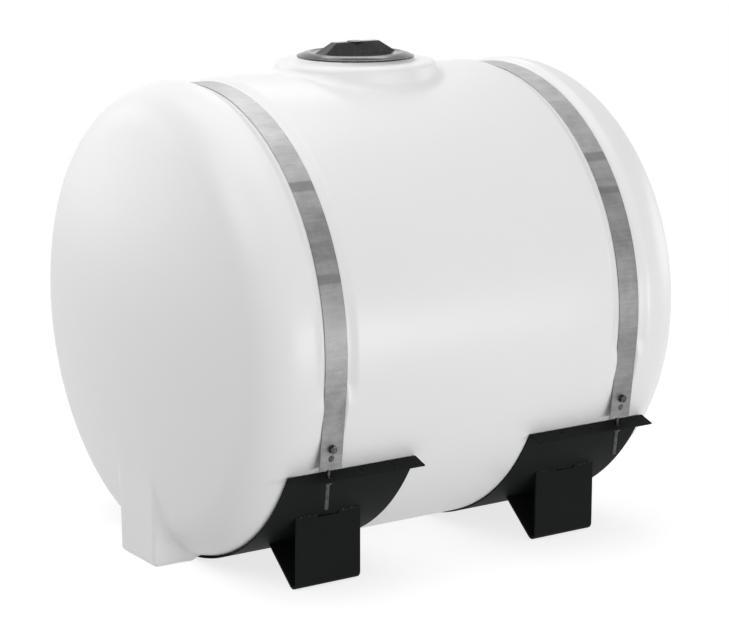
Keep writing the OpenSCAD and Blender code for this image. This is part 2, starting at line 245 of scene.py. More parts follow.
def make_polyethylene():
    """Natural white polyethylene: milky and satin, a little cloudy, with the mould's orange peel."""
    material, shader, place = finish("white_polyethylene", IOR=1.5)
    cloud = noise(place, 3.2, 3.0)
    peel = noise(place, 190.0, 3.0)
    swell = noise(place, 9.0, 2.0)
    scuff = noise(place, 26.0, 8.0, (1, 1, 3.5), 0.7).ramp((0.62, 0), (0.78, 1))
    milky = cloud.mix((0.788, 0.791, 0.786, 1), (0.812, 0.812, 0.809, 1))
    colour = (scuff * 0.25).mix(milky, (0.740, 0.745, 0.740, 1))
    dress(shader, place, colour, cloud * 0.06 + scuff * 0.08 + 0.34, swell * 0.8 + peel * 0.05, 0.25, 0.004)
    return material


def band_line_r(below):
    """Radius of the straight band's inner face at an angle below the level of the tank's axis."""
    return (tank_r - groove_depth) / math.cos(below - pull_angle)


def groove_fill(x, below):
    """How far the shell comes out where the grooves end, low on the tank's sides."""
    ended = min(max((below - groove_end) / groove_end_run, 0), 1)
    filled = groove_at(x) * ended
    if abs(abs(x) - band_x) < band_width / 2 + past_band:
        filled = min(filled, band_line_r(below) - tank_r + groove_depth)
    return max(filled, 0)


polyethylene = make_polyethylene()
right_line = half_tank_line()
whole_line = [(-x, r) for x, r in reversed(right_line)] + [(0, tank_r)] + right_line
shell_bm = bmesh.new()
drawn = polyline(shell_bm, [(x, 0, axis_z + r) for x, r in whole_line])
# The full turn goes in five parts, with finer steps over the 8 degrees where the grooves end.
for degrees, steps in ((95, 50), (8, 20), (154, 82), (8, 20), (95, 50)):
    drawn = bmesh.ops.spin(shell_bm, geom=drawn, cent=(0, 0, axis_z), axis=(1, 0, 0),
                           angle=math.radians(degrees), steps=steps, use_merge=False,
                           use_normal_flip=False, use_duplicate=False)["geom_last"]
clean(shell_bm, 5e-5)
tank_shell = piece("tank_shell", shell_bm, polyethylene, sharp=80)
thicken = tank_shell.modifiers.new("wall", "SOLIDIFY")
thicken.thickness = wall
thicken.offset = -1
settle(tank_shell)

well_low, well_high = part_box("fill_well")
well_r = (well_high.x - well_low.x) / 2
opening_bm = bmesh.new()
bmesh.ops.create_cone(opening_bm, cap_ends=True, segments=128, radius1=well_r - wall, radius2=well_r - wall,
                      depth=0.4, matrix=Matrix.Translation((0, 0, axis_z + tank_r)))
cut(tank_shell, opening_bm)
for vert in tank_shell.data.vertices:
    r = math.hypot(vert.co.y, vert.co.z - axis_z)
    below = math.atan2(axis_z - vert.co.z, abs(vert.co.y))
    if below > groove_end and groove_at(vert.co.x) > 0:
        grown = 1 + groove_fill(vert.co.x, below) / r
        vert.co.y *= grown
        vert.co.z = axis_z + (vert.co.z - axis_z) * grown
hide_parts("tank_barrel", "tank_end_left", "tank_end_right")
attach(tank_shell, "tank")


# ---- fill well -----------------------------------------------------------------------
# A raised round collar moulded in one with the barrel: a wall that flares into the barrel,
# a rounded rim, a flat ring with a low bead that the lid comes down over, and inside it the
# short neck that the lid screws into.

neck_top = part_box("lid_gasket")[0].z
neck_bore_r = 0.104
neck_wall = 0.008
collar_top = neck_top - 0.003
rim_round = 0.010
flare_out = 0.020
flare_up = 0.017
flare_steps = 12
neck_edge = 0.0015
seat_bead_r = 0.1203
seat_bead_top = neck_top + 0.0035


def barrel_z(y):
    """Height of the barrel's top face at a distance y from its middle line."""
    return axis_z + math.sqrt(tank_r ** 2 - y ** 2)


def spin_shut(bm, geom, steps):
    """A full turn of an outline about Z."""
    bmesh.ops.spin(bm, geom=geom, cent=(0, 0, 0), axis=(0, 0, 1), angle=2 * math.pi, steps=steps,
                   use_merge=True, use_normal_flip=False, use_duplicate=False)
    clean(bm)


def turned(line, steps):
    """A closed shape turned about Z, in a bmesh of its own, from a line of (radius, height)."""
    bm = bmesh.new()
    spin_shut(bm, polyline(bm, [(r, 0, z) for r, z in line]), steps)
    return bm


def collar_outline():
    """Radius and height of the collar's section. Heights up to flare_up are above the barrel's face."""
    outer_neck = neck_bore_r + neck_wall
    section = [(neck_bore_r, neck_top - neck_edge), (neck_bore_r + neck_edge, neck_top),
               (outer_neck - neck_edge, neck_top), (outer_neck, neck_top - neck_edge),
               (outer_neck + 0.0006, collar_top + 0.0006), (outer_neck + 0.0025, collar_top)]
    section += [(seat_bead_r - 0.0015, collar_top), (seat_bead_r - 0.0007, seat_bead_top - 0.0008),
                (seat_bead_r, seat_bead_top), (seat_bead_r + 0.0007, seat_bead_top - 0.0008),
                (seat_bead_r + 0.0015, collar_top + 0.0015), (seat_bead_r + 0.0032, collar_top)]
    section += [(r, collar_top) for r in (0.130, 0.140)]
    for i in range(9):
        a = math.pi / 2 * (1 - i / 8)
        section.append((well_r - rim_round * (1 - math.cos(a)), collar_top - rim_round * (1 - math.sin(a))))
    for i in range(flare_steps + 1):
        a = math.pi / 2 * i / flare_steps
        section.append((well_r + flare_out * (1 - math.cos(a)), flare_up * (1 - math.sin(a))))
    section += [(well_r + flare_out + 0.003, -0.0008), (well_r + flare_out, -wall / 2),
                (well_r - wall, -wall / 2), (well_r - wall, collar_top - wall),
                (neck_bore_r, collar_top - wall), (neck_bore_r, neck_top - neck_edge)]
    return section


collar_bm = turned(collar_outline(), 160)
# The wall and rim keep their heights. The flare and the foot are laid on the round of the barrel.
for vert in collar_bm.verts:
    if vert.co.z <= flare_up + 1e-6:
        room = collar_top - rim_round - barrel_z(well_r * vert.co.y / vert.co.xy.length)
        height = vert.co.z * min(1, room / flare_up) if vert.co.z > 0 else vert.co.z
        vert.co.z = barrel_z(vert.co.y) + height
clean(collar_bm, 4e-4)
fill_well = piece("fill_well_collar", collar_bm, polyethylene, sharp=50)
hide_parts("fill_well")
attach(fill_well, "tank")


# ---- end legs ------------------------------------------------------------------------
# Under each domed end the moulding runs down into a hollow block leg that stands on the
# ground. Its sides meet the dome in a soft fillet that is widest near the ground, and its
# outer face runs out into the dome about a hand's width below the middle of the end.

leg_low, leg_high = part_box("end_leg_right")
leg_inner, leg_outer = leg_low.x, leg_high.x
leg_half = leg_high.y
leg_round = 0.011
leg_top = 0.24
leg_wall = 0.003
fillet_least = 0.007
fillet_growth = 0.020
fillet_fade = (0.07, 0.17)
fillet_end = 0.034
heart_inset = 0.045
buried_depth = 0.045
edge_tuck = 0.0012


def dome_distance(p):
    """Distance of a point outside the tank's right end, negative inside."""
    r = math.hypot(p.y, p.z - axis_z)
    if p.x < seam_x:
        return r - tank_r
    if r * (seam_x - crown_x) < knuckle_y * (p.x - crown_x):
        return math.hypot(p.x - crown_x, r) - crown_r
    return math.hypot(p.x - seam_x, r - knuckle_y) - knuckle_r


def leg_distance(p):
    """Distance of a point outside the rounded block of the leg."""
    middle = Vector(((leg_inner + leg_outer) / 2, 0, leg_top / 2))
    half = Vector(((leg_outer - leg_inner) / 2, leg_half, leg_top / 2))
    q = Vector([abs(a - m) - h + leg_round for a, m, h in zip(p, middle, half)])
    outside = Vector([max(a, 0) for a in q])
    return outside.length + min(max(q), 0) - leg_round


def blended_distance(p):
    """Distance outside the leg and the dome joined by a fillet, which is wider near the ground."""
    low = min(max((fillet_fade[1] - p.z) / (fillet_fade[1] - fillet_fade[0]), 0), 1)
    reach = fillet_least + fillet_growth * low
    a, b = dome_distance(p), leg_distance(p)
    overlap = max(reach - abs(a - b), 0) / reach
    return min(a, b) - overlap ** 2 * reach / 4


def push_out(start, direction):
    """The point where a ray from inside the leg leaves the moulding."""
    near, far = 0.0, 0.6
    for _ in range(26):
        middle = (near + far) / 2
        if blended_distance(start + direction * middle) < 0:
            near = middle
        else:
            far = middle
    return start + direction * near


def make_leg(side, name):
    """A finely divided block, with each point pushed out to the surface of the blended moulding."""
    heart = Vector((leg_outer - heart_inset, 0, leg_top / 4))
    bm = bmesh.new()
    size = (leg_outer - leg_inner, 2 * leg_half, leg_top)
    place = Matrix.Translation(((leg_inner + leg_outer) / 2, 0, leg_top / 2)) @ Matrix.Diagonal((*size, 1))
    bmesh.ops.create_cube(bm, size=1, matrix=place)
    bmesh.ops.subdivide_edges(bm, edges=bm.edges[:], cuts=45, use_grid_fill=True)
    buried = [v for v in bm.verts if dome_distance(v.co) < -buried_depth]
    bmesh.ops.delete(bm, geom=buried, context="VERTS")
    for v in bm.verts:
        v.co = push_out(heart, (v.co - heart).normalized())
        v.co.z = max(v.co.z, 0)
    past_fillet = [v for v in bm.verts if leg_distance(v.co) > fillet_end]
    bmesh.ops.delete(bm, geom=past_fillet, context="VERTS")
    for v in bm.verts:
        if v.is_boundary:
            v.co += (Vector((seam_x - 0.3, 0, axis_z)) - v.co).normalized() * edge_tuck
    bmesh.ops.recalc_face_normals(bm, faces=bm.faces[:])
    if bm.faces[0].normal.dot(bm.faces[0].calc_center_median() - heart) < 0:
        bmesh.ops.reverse_faces(bm, faces=bm.faces[:])
    if side < 0:
        bmesh.ops.scale(bm, vec=(-1, 1, 1), verts=bm.verts[:])
        bmesh.ops.reverse_faces(bm, faces=bm.faces[:])
    leg = piece(name, bm, polyethylene, sharp=80)
    thicken = leg.modifiers.new("wall", "SOLIDIFY")
    thicken.thickness = leg_wall
    thicken.offset = -1
    settle(leg)
    return leg


for side, word in ((-1, "left"), (1, "right")):
    leg = make_leg(side, f"moulded_leg_{word}")
    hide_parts(f"end_leg_{word}")
    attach(leg, "tank")


# ---- lid -----------------------------------------------------------------------------
# A wide screw-on lid in injection-moulded black polypropylene: a threaded skirt, a rim that
# shuts on a rubber gasket, a slope up to a ring, and a bar across its dish to turn it by,
# with a small vent pressed into the top of the bar.

lid_low, lid_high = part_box("lid")
lid_seat, face_z = lid_low.z, lid_high.z
lid_r = (lid_high.x - lid_low.x) / 2
grip_low, grip_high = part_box("lid_grip")
vent_low, vent_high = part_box("lid_vent")
rim_height = 0.005
rim_round_edge = 0.0012
rim_step = 0.0023
slope_start = 0.0015
slope_run = 0.023
slope_fullness = 1.4
dish_r = 0.0935
dish_drop = face_z - grip_low.z
lid_wall = 0.0035
seat_gap = 0.0003
lid_stem_r = neck_bore_r - seat_gap


def make_black_polypropylene():
    """Black moulded plastic: half gloss, with a fine grain, and grey in places with dust and hand marks,
    whose grey is made light enough to stand partly for a painted sheen on the lid's slope.
    """
    material, shader, place = finish("black_polypropylene", IOR=1.49, Specular_IOR_Level=0.36)
    grain = noise(place, 900.0, 3.0)
    dust_and_sheen = noise(place, 34.0, 6.0, (1, 1, 0.4), 0.65).ramp((0.45, 0), (0.75, 1))
    smear = noise(place, 15.0, 3.0, (0.35, 2.2, 1)).ramp((0.4, 0), (0.7, 1))
    # Partly painted sheen: the grey of the dust and hand marks is lightened so that it also stands in for the
    # highlight on the lid's slope.
    colour = (dust_and_sheen * 0.6 + smear * 0.2).mix((0.016, 0.016, 0.016, 1), (0.07, 0.07, 0.069, 1))
    dress(shader, place, colour, dust_and_sheen * 0.12 + smear * 0.08 + 0.10, grain * 0.4 + dust_and_sheen * 0.2, 0.10, 0.0004)
    return material


def arc(centre, radius, first, last, steps):
    """Points round an arc, from one angle to another in degrees."""
    angles = [math.radians(first + (last - first) * i / steps) for i in range(steps + 1)]
    return [(centre[0] + radius * math.cos(a), centre[1] + radius * math.sin(a)) for a in angles]


def lid_outline():
    """Radius and height of the lid's wall: over its top from the middle out, and back underneath."""
    slope = []
    for i in range(13):
        t = i / 12
        rise = (face_z - lid_seat - rim_height) * (1 - (1 - t) ** slope_fullness)
        slope.append((lid_r - slope_start - (slope_run - slope_start) * t, lid_seat + rim_height + rise))
    over = [(0, face_z - dish_drop), (dish_r - 0.0035, face_z - dish_drop)]
    over += [(dish_r - 0.0015, face_z - dish_drop * 0.85), (dish_r, face_z - dish_drop * 0.4),
             (dish_r + 0.001, face_z - dish_drop * 0.08), (dish_r + 0.002, face_z)]
    over += slope[::-1]
    over += arc((lid_r - rim_round_edge, lid_seat + rim_height - rim_round_edge), rim_round_edge, 80, 0, 4)
    under = [(lid_r, lid_seat + rim_step + 0.0005), (lid_r - 0.0005, lid_seat + rim_step),
             (lid_r - 0.0033, lid_seat + rim_step), (lid_r - 0.0038, lid_seat), (lid_stem_r, lid_seat),
             (lid_stem_r - lid_wall, lid_seat + 0.001), (lid_stem_r - lid_wall, face_z - lid_wall),
             (dish_r, face_z - lid_wall), (dish_r - lid_wall, face_z - dish_drop - lid_wall),
             (0, face_z - dish_drop - lid_wall)]
    return over + under


def soften(made, width, segments=3, angle=30):
    """Rounds the edges of a finished shape, and shades its flat faces flat."""
    bevel = made.modifiers.new("edges", "BEVEL")
    bevel.width = width
    bevel.segments = segments
    bevel.limit_method = "ANGLE"
    bevel.angle_limit = math.radians(angle)
    made.modifiers.new("normals", "WEIGHTED_NORMAL")
    return settle(made)


black_plastic = make_black_polypropylene()
lid_top = piece("lid_top", turned(lid_outline(), 144), black_plastic, sharp=50)
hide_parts("lid", "lid_floor")

grip_half, grip_width_half = grip_high.x, grip_high.y
grip_top_half, grip_top_width_half = 0.053, 0.0095
grip_sunk = 0.002
grip_bm = bmesh.new()
for vert in bmesh.ops.create_cube(grip_bm, size=2)["verts"]:
    if vert.co.z > 0:
        vert.co = (vert.co.x * grip_top_half, vert.co.y * grip_top_width_half, grip_high.z)
    else:
        vert.co = (vert.co.x * grip_half, vert.co.y * grip_width_half, grip_low.z - grip_sunk)
lid_bar = soften(piece("lid_bar", grip_bm, black_plastic), 0.0010, 3)
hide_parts("lid_grip")

vent_r = (vent_high.x - vent_low.x) / 2
vent_stem_r = 0.0055
vent_seat = grip_high.z
cap_line = [(0, vent_high.z), (vent_r * 0.35, vent_high.z - 0.00005), (vent_r * 0.62, vent_high.z - 0.0003)]
cap_line += [(vent_r * 0.8, vent_high.z - 0.0006), (vent_r * 0.93, vent_high.z - 0.001)]
cap_line += [(vent_r, vent_seat + 0.0006), (vent_r - 0.0004, vent_seat + 0.0002)]
cap_line += [(vent_r * 0.5, vent_seat + 0.0001), (vent_stem_r, vent_seat - 0.001)]
cap_line += [(vent_stem_r, vent_low.z), (0, vent_low.z)]
vent_cap = piece("vent_cap", turned(cap_line, 64), black_plastic, sharp=50)
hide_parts("lid_vent")

skirt_low, skirt_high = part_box("lid_skirt")
skirt_r, skirt_wall = skirt_high.x, 0.003
skirt_edge = 0.0012
ridges, ridge_pitch, ridge_root_r = 3, 0.006, skirt_r - 0.0011
skirt_line = [(skirt_r - skirt_wall, skirt_low.z), (skirt_r - skirt_edge, skirt_low.z)]
skirt_line += [(skirt_r, skirt_low.z + skirt_edge)]
for i in range(ridges):
    z = skirt_low.z + 0.0045 + i * ridge_pitch
    skirt_line += [(skirt_r, z), (ridge_root_r, z + 0.0007), (ridge_root_r, z + 0.0033), (skirt_r, z + 0.004)]
skirt_line += [(skirt_r, skirt_high.z), (skirt_r - skirt_wall, skirt_high.z)]
skirt_line += [(skirt_r - skirt_wall, skirt_low.z)]
lid_thread = piece("lid_thread_skirt", turned(skirt_line, 144), black_plastic)
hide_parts("lid_skirt")

for made in (lid_top, lid_bar, vent_cap, lid_thread):
    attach(made, "lid")


def make_rubber():
    """Black rubber, dry and a little bloomed."""
    material, shader, place = finish("gasket_rubber_black", IOR=1.45)
    bloom = noise(place, 60.0, 5.0).ramp((0.45, 0), (0.8, 1))
    colour = bloom.mix((0.014, 0.014, 0.014, 1), (0.04, 0.04, 0.039, 1))
    dress(shader, place, colour, bloom * 0.1 + 0.62, noise(place, 500.0, 2.0), 0.15, 0.0004)
    return material


def repaint(node, material):
    """Gives a part that is shown as it was drawn its finish."""
    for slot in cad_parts[node].material_slots:
        slot.material = material


repaint("lid_gasket", make_rubber())


# ---- saddles -------------------------------------------------------------------------
# Under each half of the tank lies a sheet of 3.2 mm steel, rolled to the tank's round and
# folded out at both sides into a flange with three holes. It is painted black, half matt.

saddle_low, saddle_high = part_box("saddle_right")
sheet_gauge = 0.0032
sheet_r = tank_r + seat_gap
sheet_face = sheet_r + sheet_gauge
saddle_angle = math.radians(28)
flange_slope = math.radians(18)
flange_width = 0.038
flange_bend = 0.0055
flange_hole_r = 0.0065
hole_pitch = (saddle_high.x - saddle_low.x) / 4


def make_black_paint(name, speck_and_glint_share):
    """Black paint on steel: close to matt and a little uneven, with grey specks; the second argument sets how
    many. Where there are many, as on the weld beads, they are painted glints of light on the rough weld as
    well as specks.
    """
    material, shader, place = finish(name, Specular_IOR_Level=0.04)
    cloud = noise(place, 7.0, 5.0).ramp((0.35, 0), (0.7, 1))
    # Grey specks. In large numbers, as on the weld beads, they are painted glints on the rough weld.
    speck_and_glint = noise(place, 240.0, 4.0, (1, 1, 1), 0.7).ramp((0.66 - speck_and_glint_share, 0), (0.72 - speck_and_glint_share, 1))
    painted = cloud.mix((0.0092, 0.0108, 0.0102, 1), (0.0118, 0.0136, 0.0130, 1))
    colour = (speck_and_glint * (0.03 + 6 * speck_and_glint_share)).mix(painted, (0.20, 0.20, 0.195, 1))
    peel = noise(place, 320.0, 3.0)
    dress(shader, place, colour, cloud * 0.08 + 0.56, peel * 0.5 + speck_and_glint * 0.3, 0.12, 0.0006)
    return material


def rounded_corner(before, corner, after, radius, steps=6):
    """Points round a bend of the given radius in place of a corner of a flat line."""
    corner = Vector(corner)
    one = (Vector(before) - corner).normalized()
    two = (Vector(after) - corner).normalized()
    half = one.angle(two) / 2
    centre = corner + (one + two).normalized() * (radius / math.sin(half))
    start = corner + one * (radius / math.tan(half)) - centre
    end = corner + two * (radius / math.tan(half)) - centre
    swing = start.angle_signed(end)
    points = []
    for i in range(steps + 1):
        a = -swing * i / steps
        points.append((centre.x + start.x * math.cos(a) - start.y * math.sin(a),
                       centre.y + start.x * math.sin(a) + start.y * math.cos(a)))
    return points


def folded_sheet(name, line, low_x, high_x, gauge, outward, material):
    """A strip of sheet drawn along the tank from a line of (y, z) points, thickened behind its outer face."""
    bm = bmesh.new()
    geom = polyline(bm, [(low_x, y, z) for y, z in line])
    edges = [g for g in geom if isinstance(g, bmesh.types.BMEdge)]
    drawn = bmesh.ops.extrude_edge_only(bm, edges=edges)["geom"]
    bmesh.ops.translate(bm, verts=[g for g in drawn if isinstance(g, bmesh.types.BMVert)],
                        vec=(high_x - low_x, 0, 0))
    bm.normal_update()
    first = min(bm.faces, key=lambda face: face.calc_center_median().y)
    if first.normal.dot(Vector(outward)) < 0:
        bmesh.ops.reverse_faces(bm, faces=bm.faces[:])
    made = piece(name, bm, material)
    thicken = made.modifiers.new("gauge", "SOLIDIFY")
    thicken.thickness = gauge
    thicken.offset = -1
    thicken.use_even_offset = True
    return settle(made)


def drill(bm, at, along, radius, length=0.03):
    """Adds a cutter for one hole."""
    turned = Vector(along).to_track_quat("Z", "Y").to_matrix().to_4x4()
    bmesh.ops.create_cone(bm, cap_ends=True, segments=40, radius1=radius, radius2=radius, depth=length,
                          matrix=Matrix.Translation(at) @ turned)


def saddle_line():
    """The upper face of the bent sheet, from one flange's edge under the tank to the other's."""
    bend_y, bend_z = sheet_r * math.cos(saddle_angle), axis_z - sheet_r * math.sin(saddle_angle)
    lip = (-bend_y - flange_width * math.cos(flange_slope), bend_z - flange_width * math.sin(flange_slope))
    below = saddle_angle + 0.06
    down = (-sheet_r * math.cos(below), axis_z - sheet_r * math.sin(below))
    half = [lip] + rounded_corner(lip, (-bend_y, bend_z), down, flange_bend)
    steps = 34
    for i in range(steps + 1):
        a = below + (math.pi / 2 - below) * i / steps
        half.append((-sheet_r * math.cos(a), axis_z - sheet_r * math.sin(a)))
    return half + [(-y, z) for y, z in reversed(half[:-1])]


flange_y = sheet_r * math.cos(saddle_angle) + flange_width / 2 * math.cos(flange_slope)
flange_drop = sheet_r * math.sin(saddle_angle) + flange_width / 2 * math.sin(flange_slope)
black_paint = make_black_paint("black_steel_paint", 0)
for side, word in ((-1, "left"), (1, "right")):
    low_x, high_x = sorted((side * saddle_low.x, side * saddle_high.x))
    saddle = folded_sheet(f"saddle_sheet_{word}", saddle_line(), low_x, high_x, sheet_gauge,
                          (0, 0, 1), black_paint)
    holes = bmesh.new()
    for front in (-1, 1):
        for number in range(3):
            drill(holes, (side * (band_x - number * hole_pitch), front * flange_y, axis_z - flange_drop),
                  (0, front * math.sin(flange_slope), math.cos(flange_slope)), flange_hole_r)
    soften(cut(saddle, holes), 0.0005, 2)
    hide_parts(f"saddle_{word}")
    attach(saddle, "tank")


# ---- feet ----------------------------------------------------------------------------
# Four feet, each one strip of 5 mm plate folded to a V: an upright front with a notch for
# the end of the hook rod, a wide bend that stands on the ground, and a back that runs up
# to the sheet. They are welded to the sheet on both sides of the notch.

foot_low, foot_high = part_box("foot_right_front")
foot_reach = -foot_low.y
foot_gauge = 0.005
foot_bend = 0.015
foot_run = 0.092
notch_length, notch_depth = 0.048, 0.007
weld_r = 0.0028
weld_sunk = 0.0008
weld_from_side, weld_from_notch = 0.004, 0.003


def sheet_z(y):
    """Height of the rolled sheet's underside."""
    return axis_z - math.sqrt(sheet_face ** 2 - y ** 2)


foot_top = sheet_z(foot_reach)
foot_rise = math.atan2(sheet_z(foot_reach - foot_run), foot_run)


def foot_line():
    """The outer face of the folded strip, from above the front's top edge round to past the sheet."""
    bend = arc((-foot_reach + foot_bend, foot_bend), foot_bend, 180, 270 + math.degrees(foot_rise), 10)
    far = 1.3 * foot_run
    end = bend[-1]
    return [(-foot_reach, foot_top + foot_gauge)] + bend + [
        (end[0] + far * math.cos(foot_rise), end[1] + far * math.sin(foot_rise))]


def add_copy(bm, other, matrix=Matrix()):
    """Moves one bmesh into another, through a matrix."""
    mesh = bpy.data.meshes.new("copy")
    other.to_mesh(mesh)
    other.free()
    mesh.transform(matrix)
    bm.from_mesh(mesh)
    bpy.data.meshes.remove(mesh)


def bead(bm, start, end, radius, seed):
    """A weld bead: a closed, rippled rod between two points."""
    along = Vector(end) - Vector(start)
    steps = max(int(along.length / 0.0022), 4)
    line = [(0, 0)]
    for i in range(steps + 1):
        t = i / steps
        taper = math.sqrt(max(1 - (2 * t - 1) ** 8, 0.02))
        ripple = 1 + 0.10 * math.sin(i * 2.4 + seed) + 0.07 * math.sin(i * 0.9 + 2 * seed)
        line.append((radius * taper * ripple, t * along.length))
    line.append((0, along.length))
    lie = Matrix.Translation(start) @ along.to_track_quat("Z", "Y").to_matrix().to_4x4()
    add_copy(bm, turned(line, 10), lie)


# The weld beads' many grey specks are painted glints of light on the rough weld.
weld_paint = make_black_paint("painted_weld_bead", 0.09)
for side, word in ((-1, "left"), (1, "right")):
    low_x, high_x = sorted((side * foot_low.x, side * foot_high.x))
    middle_x = (low_x + high_x) / 2
    for front, place_word in ((-1, "front"), (1, "back")):
        line = [(y * -front, z) for y, z in foot_line()]
        foot = folded_sheet(f"foot_plate_{word}_{place_word}", line, low_x, high_x, foot_gauge,
                            (0, -1, 0), black_paint)
        rolled = bmesh.new()
        along_axis = Matrix.Translation((0, 0, axis_z)) @ Matrix.Rotation(math.pi / 2, 4, "Y")
        bmesh.ops.create_cone(rolled, cap_ends=True, segments=360, radius1=sheet_face, radius2=sheet_face,
                              depth=1.2, matrix=along_axis)
        cut(foot, rolled)
        notch = bmesh.new()
        size = Matrix.Diagonal((notch_length, 4 * foot_gauge, 2 * notch_depth, 1))
        top_middle = (middle_x, front * foot_reach, foot_top)
        bmesh.ops.create_cube(notch, size=1, matrix=Matrix.Translation(top_middle) @ size)
        cut(foot, notch)
        soften(foot, 0.0008, 3, 40)
        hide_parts(f"foot_{word}_{place_word}")
        welds = bmesh.new()
        weld_y, weld_z = front * (foot_reach - 0.0005), foot_top - weld_sunk
        by_notch = notch_length / 2 + weld_from_notch
        for seed, (x0, x1) in enumerate(((low_x + weld_from_side, middle_x - by_notch),
                                         (middle_x + by_notch, high_x - weld_from_side))):
            bead(welds, (x0, weld_y, weld_z), (x1, weld_y, weld_z), weld_r, seed + side)
        weld = piece(f"foot_weld_{word}_{place_word}", welds, weld_paint, 80)
        for made in (foot, weld):
            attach(made, "tank")


# ---- bands ---------------------------------------------------------------------------
# Two flat bands of galvanised strip, 50 by 2 mm, lie in the grooves over the tank. Each runs
# on straight past the tank's side and ends in two punched holes, one of them for the bolt.

band_gauge = 0.002
band_r = tank_r - groove_depth + seat_gap
band_face = band_r + band_gauge
bolt_r = 0.00475
wire_room = 0.00475
rod_r = 0.0043
rod_line = band_r - wire_room - seat_gap
flange_far = math.hypot(flange_y, flange_drop)
pull_length = math.sqrt(flange_far ** 2 - rod_line ** 2)
band_end_gap = 0.0165
band_drop = pull_length - band_end_gap
hole_from_end = 0.022
hole_spacing = 0.020
hole_low = band_drop - hole_from_end
hole_high = hole_low - hole_spacing
band_hole_r = bolt_r + seat_gap
free_hole_r = 0.0065


def pull_place(side, front):
    """Frame of one band end: Y points in to the tank's axis and -Z runs down along the pull."""
    flip = Matrix.Diagonal((1, -1 if front > 0 else 1, 1, 1))
    return (Matrix.Translation((side * band_x, 0, axis_z)) @ flip @ Matrix.Rotation(pull_angle, 4, "X"))


def make_galvanised():
    """Galvanised strip: dull zinc with cloudy spangle and dark bars across it, and a painted reflection of
    the overhead light that makes it paler over the top.
    """
    material, shader, place = finish("galvanised_strip", 1.0)
    spangle = noise(place, 42.0, 4.0, (1, 1, 1), 0.6).ramp((0.3, 0), (0.7, 1))
    drawn = noise(place, 150.0, 5.0, (0.06, 1, 1), 0.7).ramp((0.35, 0), (0.68, 1))
    blotch = noise(place, 17.0, 3.0, (0.5, 1, 1)).ramp((0.42, 0), (0.62, 1))
    worms = noise(place, 120.0, 2.0, (1, 1, 1), 0.4).ramp((0.44, 0), (0.5, 1), (0.56, 0))
    bars = noise(place, 21.0, 1.0, (0.02, 1, 1), 0.4).ramp((0.64, 0), (0.68, 1))
    shade = spangle * 0.35 + drawn * 0.3 + blotch * 0.2 + worms * 0.15
    # Painted reflection: a ramp on height mixes in a paler copy of the zinc over the top, standing in for the
    # overhead light it reflects, and a darker copy lower down.
    height = place.node("ShaderNodeSeparateXYZ", {}, {"Vector": place}, "Z")
    painted_top_reflection = (height + blotch * 0.04).ramp((0.70, 0), (0.93, 1))
    low = shade.mix((0.15, 0.15, 0.15, 1), (0.29, 0.29, 0.288, 1))
    high = shade.mix((0.30, 0.30, 0.30, 1), (0.48, 0.48, 0.48, 1))
    colour = (bars * 0.45).mix(painted_top_reflection.mix(low, high), (0.09, 0.09, 0.09, 1))
    dress(shader, place, colour, shade * 0.14 + 0.42, drawn * 0.4 + spangle * 0.5, 0.16, 0.0005)
    return material


def band_line():
    """The band's outer face in (y, z), from its front end over the tank to its back end."""
    line = []
    for front in (-1, 1):
        place = pull_place(0, front)
        half = [place @ Vector((0, -band_face, -drop)) for drop in (band_drop, hole_low * 0.5)]
        steps = 50
        for i in range(steps + 1):
            turned = Matrix.Rotation(-(math.pi / 2 + pull_angle) * i / steps, 4, "X")
            half.append(place @ turned @ Vector((0, -band_face, 0)))
        half = [(p.y, p.z) for p in half]
        line += half if front < 0 else half[-2::-1]
    return line


galvanised = make_galvanised()
for side, word in ((-1, "left"), (1, "right")):
    middle = side * band_x
    band = folded_sheet(f"band_strip_{word}", band_line(), middle - band_width / 2, middle + band_width / 2,
                        band_gauge, (0, -1, 0), galvanised)
    holes = bmesh.new()
    for front in (-1, 1):
        place = pull_place(side, front)
        for drop, hole_r in ((hole_low, free_hole_r), (hole_high, band_hole_r)):
            drill(holes, place @ Vector((0, -band_r, -drop)), place.to_3x3() @ Vector((0, 1, 0)),
                  hole_r, 0.012)
    soften(cut(band, holes), 0.0005, 2)
    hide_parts(f"band_{word}")
    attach(band, "tank")


# ---- hook rods, bolts and nuts -------------------------------------------------------
# Zinc-plated hardware: at each band end a hex bolt with a washer goes through the strip and
# the eye of a threaded rod, and the rod's nut, on a wedge washer, pulls it down on the flange.

thread_pitch = 0.0015
thread_depth = 0.0005
eye_r = bolt_r + seat_gap + wire_room
rod_tail = 0.068
rod_plain = 0.035
washer_gauge = 0.0014
head_height = bolt_r * 2 * 0.65
head_r = bolt_r * 1.7
nut_r = rod_r * 1.8
nut_height = 0.008
slant = nut_r * math.tan(flange_slope + pull_angle)
sheet_on_slant = sheet_gauge / math.cos(flange_slope + pull_angle)
nut_gap = sheet_on_slant + slant + seat_gap


def make_zinc_plate(name, dark, light):
    """Zinc plate on small steel parts, dulled to grey, darker where it is handled or dirty."""
    material, shader, place = finish(name, 1.0)
    dull = noise(place, 130.0, 5.0).ramp((0.35, 0), (0.7, 1))
    dirt = noise(place, 38.0, 4.0).ramp((0.5, 0), (0.68, 1))
    plated = dull.mix((dark, dark, dark, 1), (light, light, light, 1))
    colour = (dirt * 0.35).mix(plated, (0.03, 0.03, 0.029, 1))
    dress(shader, place, colour, dull * 0.12 + dirt * 0.1 + 0.3, noise(place, 700.0, 2.0), 0.1, 0.0003)
    return material


